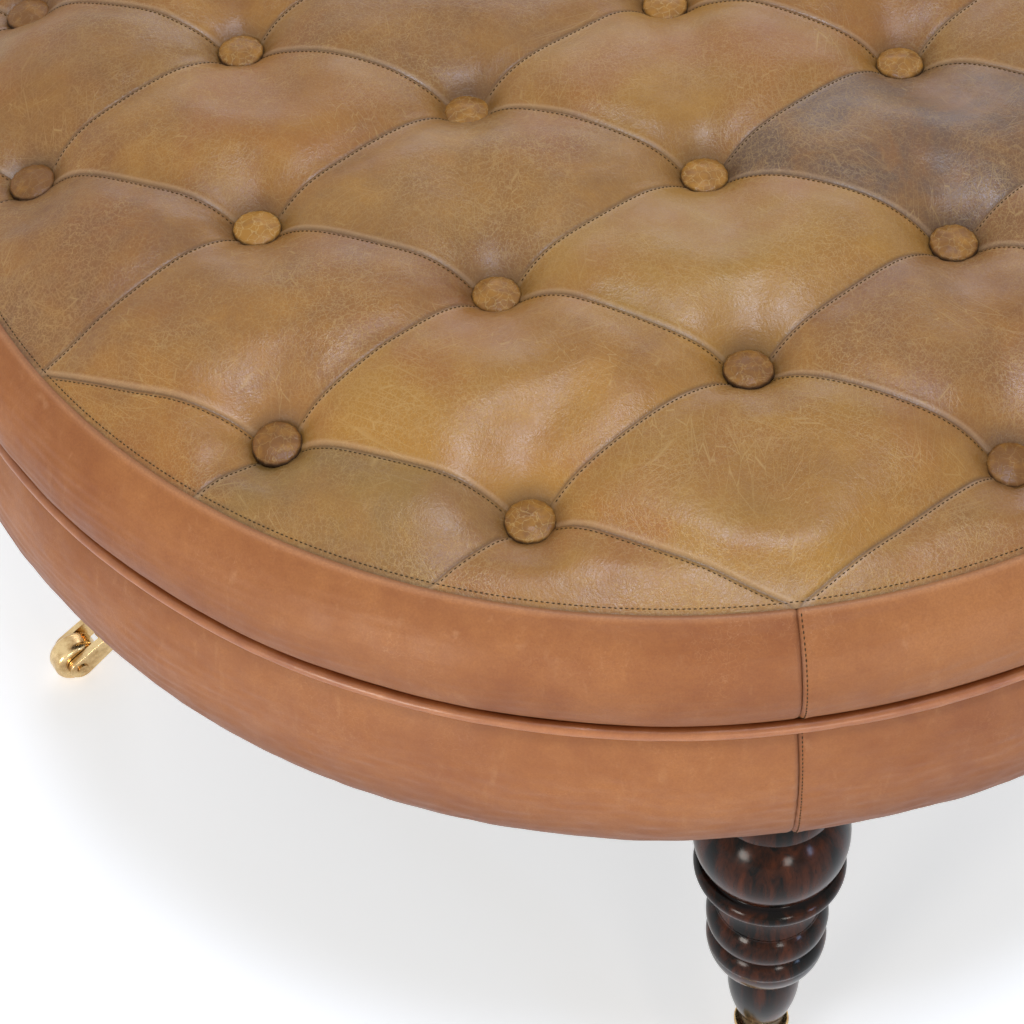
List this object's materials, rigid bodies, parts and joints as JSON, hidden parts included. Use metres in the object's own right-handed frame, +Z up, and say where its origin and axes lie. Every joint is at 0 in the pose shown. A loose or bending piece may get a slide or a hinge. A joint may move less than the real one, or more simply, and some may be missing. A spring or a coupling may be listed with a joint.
{
  "type": "round ottoman",
  "caption": "Round buttoned leather ottoman with piped side bands, turned wooden legs and brass swivel castors.",
  "frame": {"origin": "on the floor, under the middle of the round seat", "axes": "+Z up; -Y towards the leg that the picture shows in front, +X towards the leg on its right"},
  "size_m": [0.7484, 0.7484, 0.4698],
  "materials": {
    "top_leather": "satin",
    "button_leather": "satin",
    "band_leather": "satin",
    "foam": "matte",
    "cotton_cord": "matte",
    "twine": "matte",
    "dust_cloth": "matte",
    "frame_wood": "matte",
    "leg_wood": "gloss",
    "brass": "polished",
    "steel": "satin"
  },
  "bodies": {
    "root": {"seat_top_cover": "top_leather", "seat_foam": "foam", "welt_cover": "band_leather", "welt_cord": "cotton_cord", "band_padding": "foam", "tufting_buttons": "button_leather", "button_twines": "twine", "twine_toggles": "frame_wood", "top_deck": "frame_wood", "side_hoop": "frame_wood", "base_ring": "frame_wood", "deck_rail_left": "frame_wood", "deck_rail_right": "frame_wood", "frame_screws": "steel", "hanger_bolts": "steel", "t_nuts": "steel", "dust_cover": "dust_cloth", "dust_cover_staples": "steel", "castor_washers": "brass", "cup_screws": "brass", "upper_band_front_right": "band_leather", "lower_band_front_right": "band_leather", "deck_post_front_right": "frame_wood", "upper_band_back_right": "band_leather", "lower_band_back_right": "band_leather", "deck_post_back_right": "frame_wood", "upper_band_back_left": "band_leather", "lower_band_back_left": "band_leather", "deck_post_back_left": "frame_wood", "upper_band_front_left": "band_leather", "lower_band_front_left": "band_leather", "deck_post_front_left": "frame_wood", "leg_block_front": "frame_wood", "leg_front": "leg_wood", "castor_cup_front": "brass", "leg_block_right": "frame_wood", "leg_right": "leg_wood", "castor_cup_right": "brass", "leg_block_back": "frame_wood", "leg_back": "leg_wood", "castor_cup_back": "brass", "leg_block_left": "frame_wood", "leg_left": "leg_wood", "castor_cup_left": "brass"},
    "castor_swivel_body_front": {"castor_horn_front": "brass", "castor_axle_front": "brass"},
    "castor_wheel_body_front": {"castor_wheel_front": "brass"},
    "castor_swivel_body_right": {"castor_horn_right": "brass", "castor_axle_right": "brass"},
    "castor_wheel_body_right": {"castor_wheel_right": "brass"},
    "castor_swivel_body_back": {"castor_horn_back": "brass", "castor_axle_back": "brass"},
    "castor_wheel_body_back": {"castor_wheel_back": "brass"},
    "castor_swivel_body_left": {"castor_horn_left": "brass", "castor_axle_left": "brass"},
    "castor_wheel_body_left": {"castor_wheel_left": "brass"}
  },
  "joints": [
    {"name": "castor_swivel_front", "type": "hinge", "parent": "root", "child": "castor_swivel_body_front", "pos_m": [0, -0.326, 0.036], "axis": [0, 0, 1], "continuous": true},
    {"name": "wheel_spin_front", "type": "hinge", "parent": "castor_swivel_body_front", "child": "castor_wheel_body_front", "pos_m": [-0.02266, -0.33657, 0.014], "axis": [0.4226, -0.9063, 0], "continuous": true},
    {"name": "castor_swivel_right", "type": "hinge", "parent": "root", "child": "castor_swivel_body_right", "pos_m": [0.326, 0, 0.036], "axis": [0, 0, 1], "continuous": true},
    {"name": "wheel_spin_right", "type": "hinge", "parent": "castor_swivel_body_right", "child": "castor_wheel_body_right", "pos_m": [0.30334, -0.01057, 0.014], "axis": [0.4226, -0.9063, 0], "continuous": true},
    {"name": "castor_swivel_back", "type": "hinge", "parent": "root", "child": "castor_swivel_body_back", "pos_m": [0, 0.326, 0.036], "axis": [0, 0, 1], "continuous": true},
    {"name": "wheel_spin_back", "type": "hinge", "parent": "castor_swivel_body_back", "child": "castor_wheel_body_back", "pos_m": [-0.02266, 0.31543, 0.014], "axis": [0.4226, -0.9063, 0], "continuous": true},
    {"name": "castor_swivel_left", "type": "hinge", "parent": "root", "child": "castor_swivel_body_left", "pos_m": [-0.326, 0, 0.036], "axis": [0, 0, 1], "continuous": true},
    {"name": "wheel_spin_left", "type": "hinge", "parent": "castor_swivel_body_left", "child": "castor_wheel_body_left", "pos_m": [-0.34866, -0.01057, 0.014], "axis": [0.4226, -0.9063, 0], "continuous": true}
  ]
}
